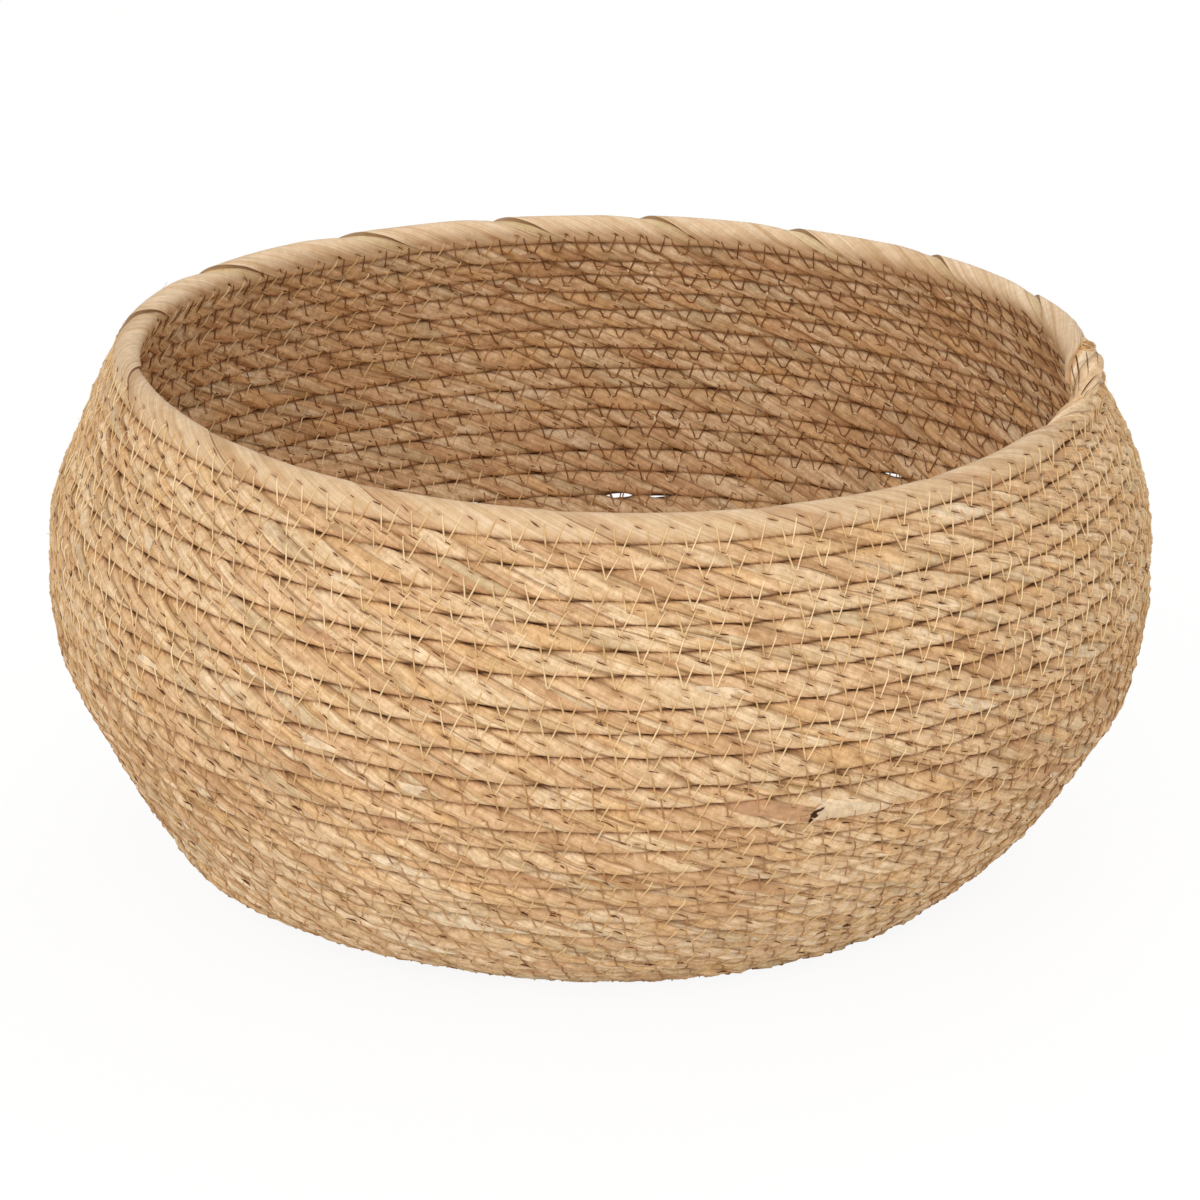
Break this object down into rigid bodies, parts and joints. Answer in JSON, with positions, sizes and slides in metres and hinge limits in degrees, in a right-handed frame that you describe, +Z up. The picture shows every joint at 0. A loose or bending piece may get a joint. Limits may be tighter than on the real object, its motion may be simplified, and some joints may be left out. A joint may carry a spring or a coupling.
{
  "type": "coiled storage basket",
  "caption": "Low round storage basket with a bulging wall, coiled from twisted leaf rope, open at the top, with a leaf-wrapped rim and a flat coiled base.",
  "frame": {"origin": "on the floor, under the middle of the basket's bounding box", "axes": "+Z up through the middle of the basket; the picture looks along +Y, with +X to the right; the rope's end on the rim is near +X"},
  "size_m": [0.3957, 0.3958, 0.197],
  "materials": {
    "leaf_rope": "matte",
    "rim_leaf": "satin",
    "stitch_thread": "matte"
  },
  "bodies": {
    "root": {"base_coil": "leaf_rope", "lower_wall_coil": "leaf_rope", "upper_wall_coil": "leaf_rope", "rim_coil": "leaf_rope", "rim_wrap": "rim_leaf"}
  },
  "joints": []
}
